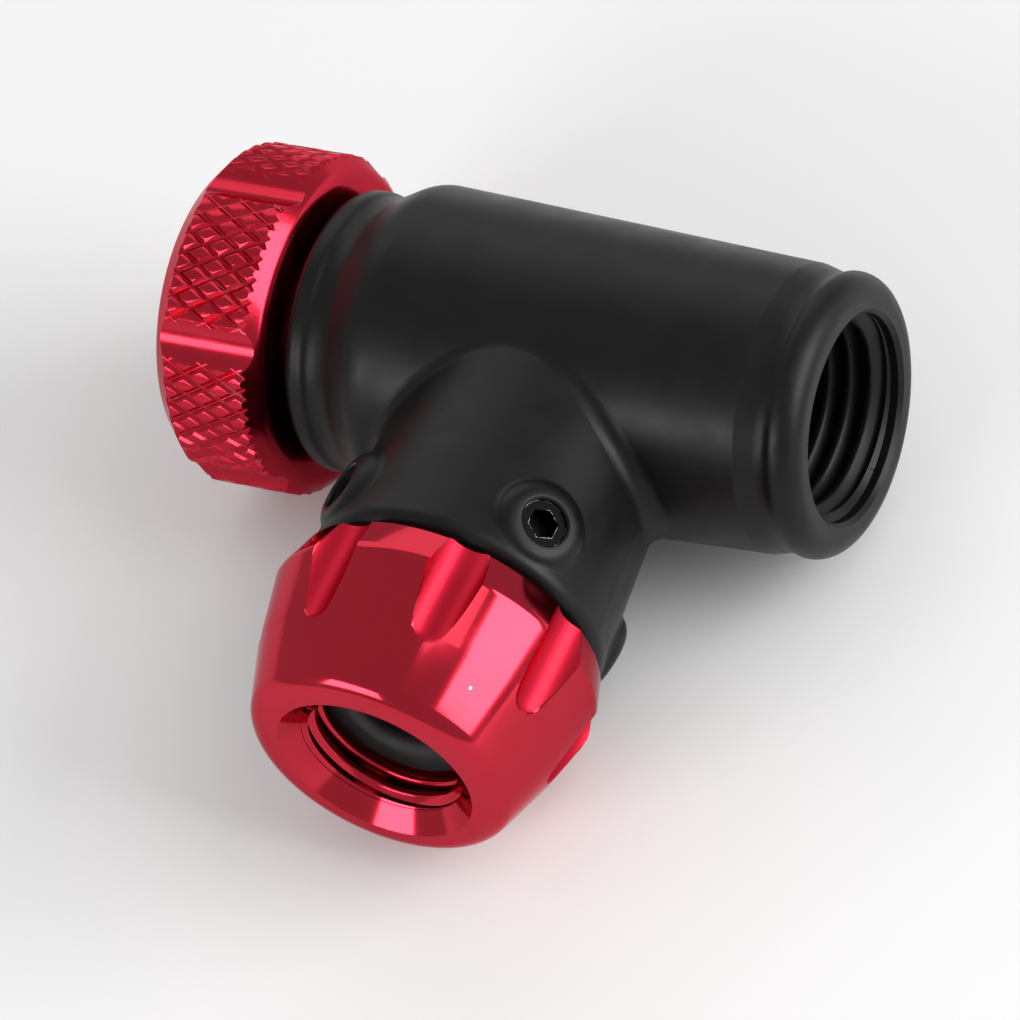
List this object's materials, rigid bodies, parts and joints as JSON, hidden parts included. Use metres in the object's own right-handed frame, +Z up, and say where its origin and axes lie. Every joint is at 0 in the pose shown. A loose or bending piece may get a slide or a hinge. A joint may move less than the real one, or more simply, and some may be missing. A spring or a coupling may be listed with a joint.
{
  "type": "tyre inflator head",
  "caption": "T-shaped inflator head: a threaded gas cartridge port, a fluted swivel chuck with a tyre valve thread, and a knurled knob that opens the needle valve",
  "frame": {"origin": "on the barrel's axis, where the wall of the cartridge thread starts inside the mouth chamfer", "axes": "+X is the way the cartridge unscrews, -Y runs down the branch to the chuck's mouth, and +Z is up with the head lying on its side"},
  "size_m": [0.0323, 0.0313, 0.016],
  "materials": {
    "black_body": "matte black coat on aluminium",
    "red_anodised": "glossy red anodised aluminium",
    "brass": "turned brass",
    "hard_steel": "hardened steel",
    "screw_steel": "plain screw steel",
    "nylon": "natural nylon",
    "seal_rubber": "black seal rubber",
    "gasket_rubber": "soft black rubber"
  },
  "bodies": {
    "root": {"housing": "black_body", "pin_holder": "brass", "piercing_pin": "hard_steel", "holder_oring": "seal_rubber", "cartridge_seal": "seal_rubber", "valve_seat": "nylon", "bonnet": "brass", "bonnet_oring": "seal_rubber", "grub_screws": "screw_steel"},
    "stem_seal": {"stem_oring": "seal_rubber"},
    "knob": {"knob": "red_anodised", "stem": "brass", "stem_tip": "nylon", "knob_washer": "screw_steel", "knob_screw": "screw_steel"},
    "chuck": {"chuck": "red_anodised", "chuck_oring": "seal_rubber", "depressor": "brass", "gasket_washer": "brass", "valve_gasket": "gasket_rubber"}
  },
  "joints": [
    {"name": "stem_rise", "type": "slide", "parent": "root", "child": "stem_seal", "axis": [-1, 0, 0], "range_m": [0, 0.0015]},
    {"name": "knob_turn", "type": "hinge", "parent": "stem_seal", "child": "knob", "pos_m": [-0.0285, 0, 0], "axis": [-1, 0, 0], "range_deg": [0, 540]},
    {"name": "chuck_swivel", "type": "hinge", "parent": "root", "child": "chuck", "pos_m": [-0.0139, -0.018, 0], "axis": [0, -1, 0], "continuous": true}
  ],
  "couplings": [
    {"joint": "stem_rise", "follows": "knob_turn", "m_per_rad": 0.00015915}
  ]
}
